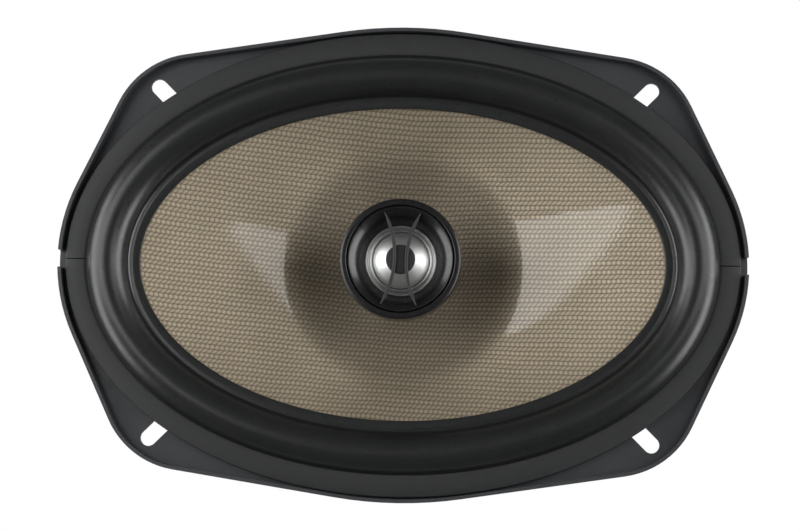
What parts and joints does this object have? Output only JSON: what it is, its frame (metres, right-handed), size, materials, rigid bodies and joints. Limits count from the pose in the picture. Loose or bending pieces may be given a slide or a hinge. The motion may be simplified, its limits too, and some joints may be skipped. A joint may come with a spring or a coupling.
{
  "type": "coaxial car speaker",
  "caption": "Oval coaxial car speaker: woven cone in a rubber surround on a pressed steel frame, with a dome tweeter on a centre post.",
  "frame": {"origin": "middle of the plane on which the back of the flange seats, on the driver's axis", "axes": "+Z is the way the speaker fires, +X its long axis, +Y its short axis, away from the terminals"},
  "size_m": [0.236, 0.1634, 0.0945],
  "materials": {
    "frame_steel": "black electrophoretic coat, satin",
    "gasket_board": "black fibre board",
    "surround_rubber": "satin black butyl rubber",
    "cone_weave": "woven glass fibre under a clear glossy coat",
    "former_film": "brown polyimide film",
    "winding_copper": "enamelled copper",
    "eyelet_tin": "tinned",
    "spider_cloth": "resin-dipped cotton",
    "plated_steel": "zinc plate",
    "ferrite": "sintered ferrite",
    "moulded_black": "black moulding",
    "gloss_black": "gloss black",
    "dome_metal": "bright metal film",
    "neodymium": "nickel plate",
    "coil_aluminium": "thin foil",
    "wire_sheath_red": "PVC sheath",
    "wire_sheath_black": "PVC sheath",
    "phenolic_board": "phenolic board",
    "tab_brass": "brass strip",
    "tab_tin": "tinned",
    "rivet_brass": "brass",
    "capacitor_sleeve": "shrunk sleeve",
    "tinsel_braid": "copper tinsel braid"
  },
  "bodies": {
    "frame_body": {"basket": "frame_steel", "front_gasket_upper": "gasket_board", "front_gasket_lower": "gasket_board", "surround": "surround_rubber", "spider": "spider_cloth", "top_plate": "plated_steel", "magnet": "ferrite", "yoke": "plated_steel", "motor_rivets": "plated_steel", "tweeter_post": "moulded_black", "post_washer": "plated_steel", "post_nut": "plated_steel", "tweeter_housing": "moulded_black", "tweeter_bezel": "gloss_black", "tweeter_waveguide": "gloss_black", "phase_bridge": "gloss_black", "tweeter_suspension": "dome_metal", "tweeter_cup": "plated_steel", "tweeter_magnet": "neodymium", "tweeter_pole_disc": "plated_steel", "tweeter_wire_positive": "wire_sheath_red", "tweeter_wire_negative": "wire_sheath_black", "terminal_board": "phenolic_board", "positive_tab": "tab_brass", "negative_tab": "tab_tin", "tab_rivets": "rivet_brass", "board_rivets": "plated_steel", "board_eyelets": "eyelet_tin", "crossover_capacitor": "capacitor_sleeve", "capacitor_leads": "eyelet_tin", "tinsel_lead_positive": "tinsel_braid", "tinsel_lead_negative": "tinsel_braid"},
    "cone_body": {"cone": "cone_weave", "voice_coil_former": "former_film", "voice_coil_winding": "winding_copper", "coil_wires": "winding_copper", "cone_eyelets": "eyelet_tin"},
    "tweeter_diaphragm": {"tweeter_dome": "dome_metal", "tweeter_coil_former": "coil_aluminium", "tweeter_coil": "winding_copper"}
  },
  "joints": [
    {"name": "woofer_stroke", "type": "slide", "parent": "frame_body", "child": "cone_body", "axis": [0, 0, 1], "range_m": [-0.005, 0.005], "stiffness_N_per_m": 2400, "deforming": ["surround", "spider", "tinsel_lead_positive", "tinsel_lead_negative"]},
    {"name": "tweeter_stroke", "type": "slide", "parent": "frame_body", "child": "tweeter_diaphragm", "axis": [0, 0, 1], "range_m": [-0.0003, 0.0003], "stiffness_N_per_m": 400, "deforming": ["tweeter_suspension"]}
  ]
}
